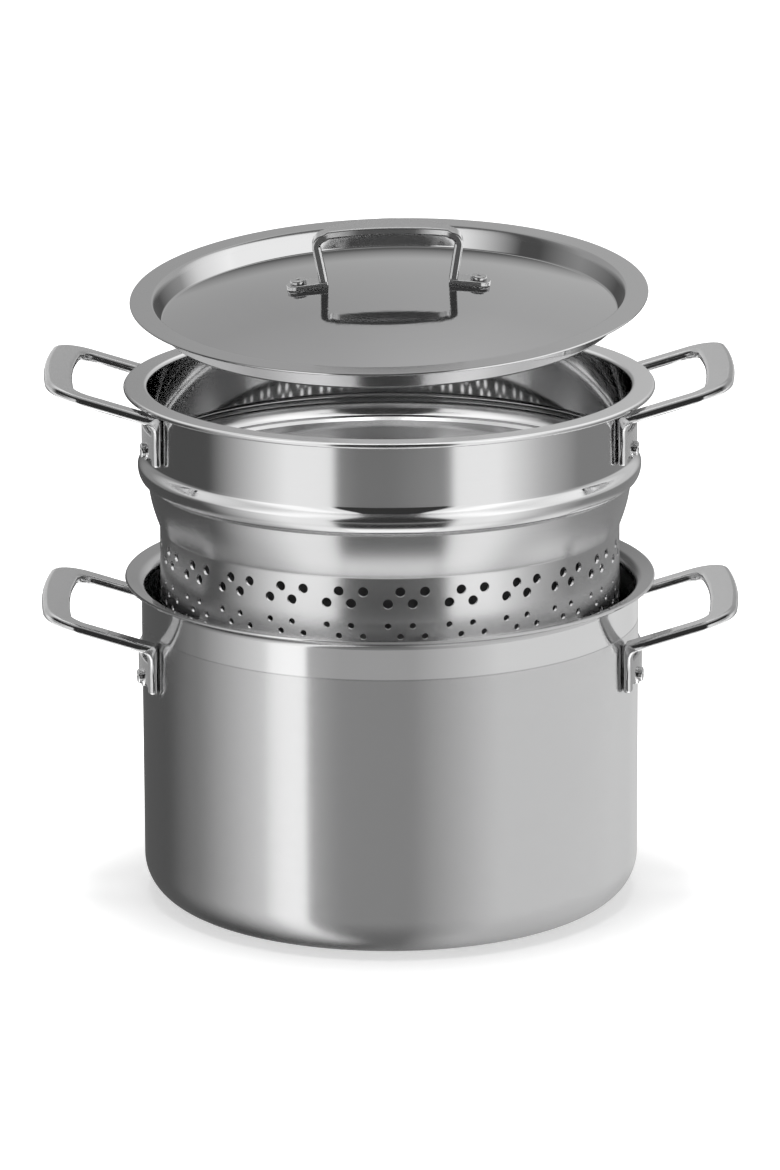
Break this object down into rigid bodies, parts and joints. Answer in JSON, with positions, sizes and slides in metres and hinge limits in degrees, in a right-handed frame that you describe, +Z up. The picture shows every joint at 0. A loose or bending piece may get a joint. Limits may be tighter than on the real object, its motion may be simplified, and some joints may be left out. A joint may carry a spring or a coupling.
{
  "type": "pasta pot",
  "caption": "Deep steel pot with a lift-out perforated draining insert and a dished lid, each with riveted loop handles, shown lifted apart.",
  "frame": {"origin": "centre of the pot's foot, on the surface it stands on", "axes": "+Z up along the pot's axis, +X towards the right-hand side handles, -Y towards the viewer"},
  "size_m": [0.343, 0.261, 0.3385],
  "materials": {
    "pot_body": "satin brushed around the wall, polished above the turned line",
    "insert_body": "satin outside, polished inside and on the rim",
    "lid_body": "mirror polished",
    "pot_handle_left": "mirror polished casting",
    "pot_handle_right": "mirror polished casting",
    "insert_handle_left": "mirror polished casting",
    "insert_handle_right": "mirror polished casting",
    "lid_handle": "mirror polished casting",
    "rivets": "polished"
  },
  "bodies": {
    "root": {"pot_body": "pot_body", "pot_handle_left": "pot_handle_left", "pot_handle_right": "pot_handle_right", "pot_rivet_left_front": "rivets", "pot_rivet_left_rear": "rivets", "pot_rivet_right_front": "rivets", "pot_rivet_right_rear": "rivets", "insert_body": "insert_body", "insert_handle_left": "insert_handle_left", "insert_handle_right": "insert_handle_right", "insert_rivet_left_front": "rivets", "insert_rivet_left_rear": "rivets", "insert_rivet_right_front": "rivets", "insert_rivet_right_rear": "rivets", "lid_body": "lid_body", "lid_handle": "lid_handle", "lid_rivet_left": "rivets", "lid_rivet_right": "rivets"}
  },
  "joints": []
}
